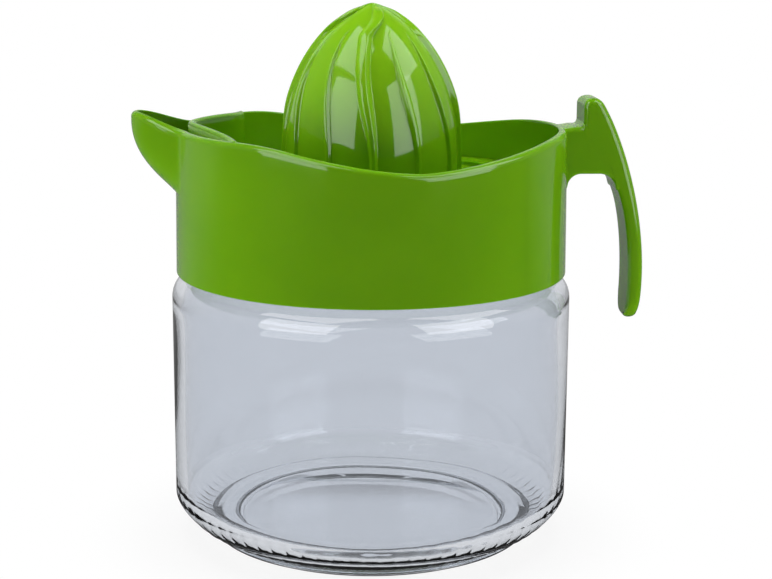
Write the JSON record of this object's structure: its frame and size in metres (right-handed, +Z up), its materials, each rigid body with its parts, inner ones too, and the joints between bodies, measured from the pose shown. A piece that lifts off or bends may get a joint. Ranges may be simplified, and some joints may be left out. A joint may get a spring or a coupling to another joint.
{
  "type": "citrus press juicer",
  "caption": "Hand citrus press: a wide glass jar under a screw-on plastic press top with a ribbed reamer cone, a draining strainer, a pouring lip and a bridged handle.",
  "frame": {"origin": "centre of the jar's bearing ring, on the surface that the jar stands on", "axes": "+Z up along the jar's axis, +X towards the handle, -X towards the pouring spout"},
  "size_m": [0.1408, 0.11, 0.147],
  "materials": {
    "clear_glass": "clear pressed glass",
    "white_silicone": "matt",
    "green_plastic": "glossy lime green"
  },
  "bodies": {
    "jar": {"glass_jar": "clear_glass"},
    "seal": {"sealing_ring": "white_silicone"},
    "press_top": {"pouring_collar": "green_plastic"},
    "strainer": {"strainer_insert": "green_plastic"},
    "cone": {"reamer_cone": "green_plastic"}
  },
  "joints": [
    {"name": "top_rise", "type": "slide", "parent": "jar", "child": "seal", "axis": [0, 0, 1], "range_m": [0, 0.00601]},
    {"name": "top_turn", "type": "hinge", "parent": "seal", "child": "press_top", "pos_m": [0, 0, 0.0905], "axis": [0, 0, 1], "range_deg": [0, 360]},
    {"name": "strainer_lift", "type": "slide", "parent": "press_top", "child": "strainer", "axis": [0, 0, 1], "range_m": [0, 0.04]},
    {"name": "cone_lift", "type": "slide", "parent": "strainer", "child": "cone", "axis": [0, 0, 1], "range_m": [0, 0.03]}
  ],
  "couplings": [
    {"joint": "top_rise", "follows": "top_turn", "m_per_rad": 0.00095493}
  ]
}
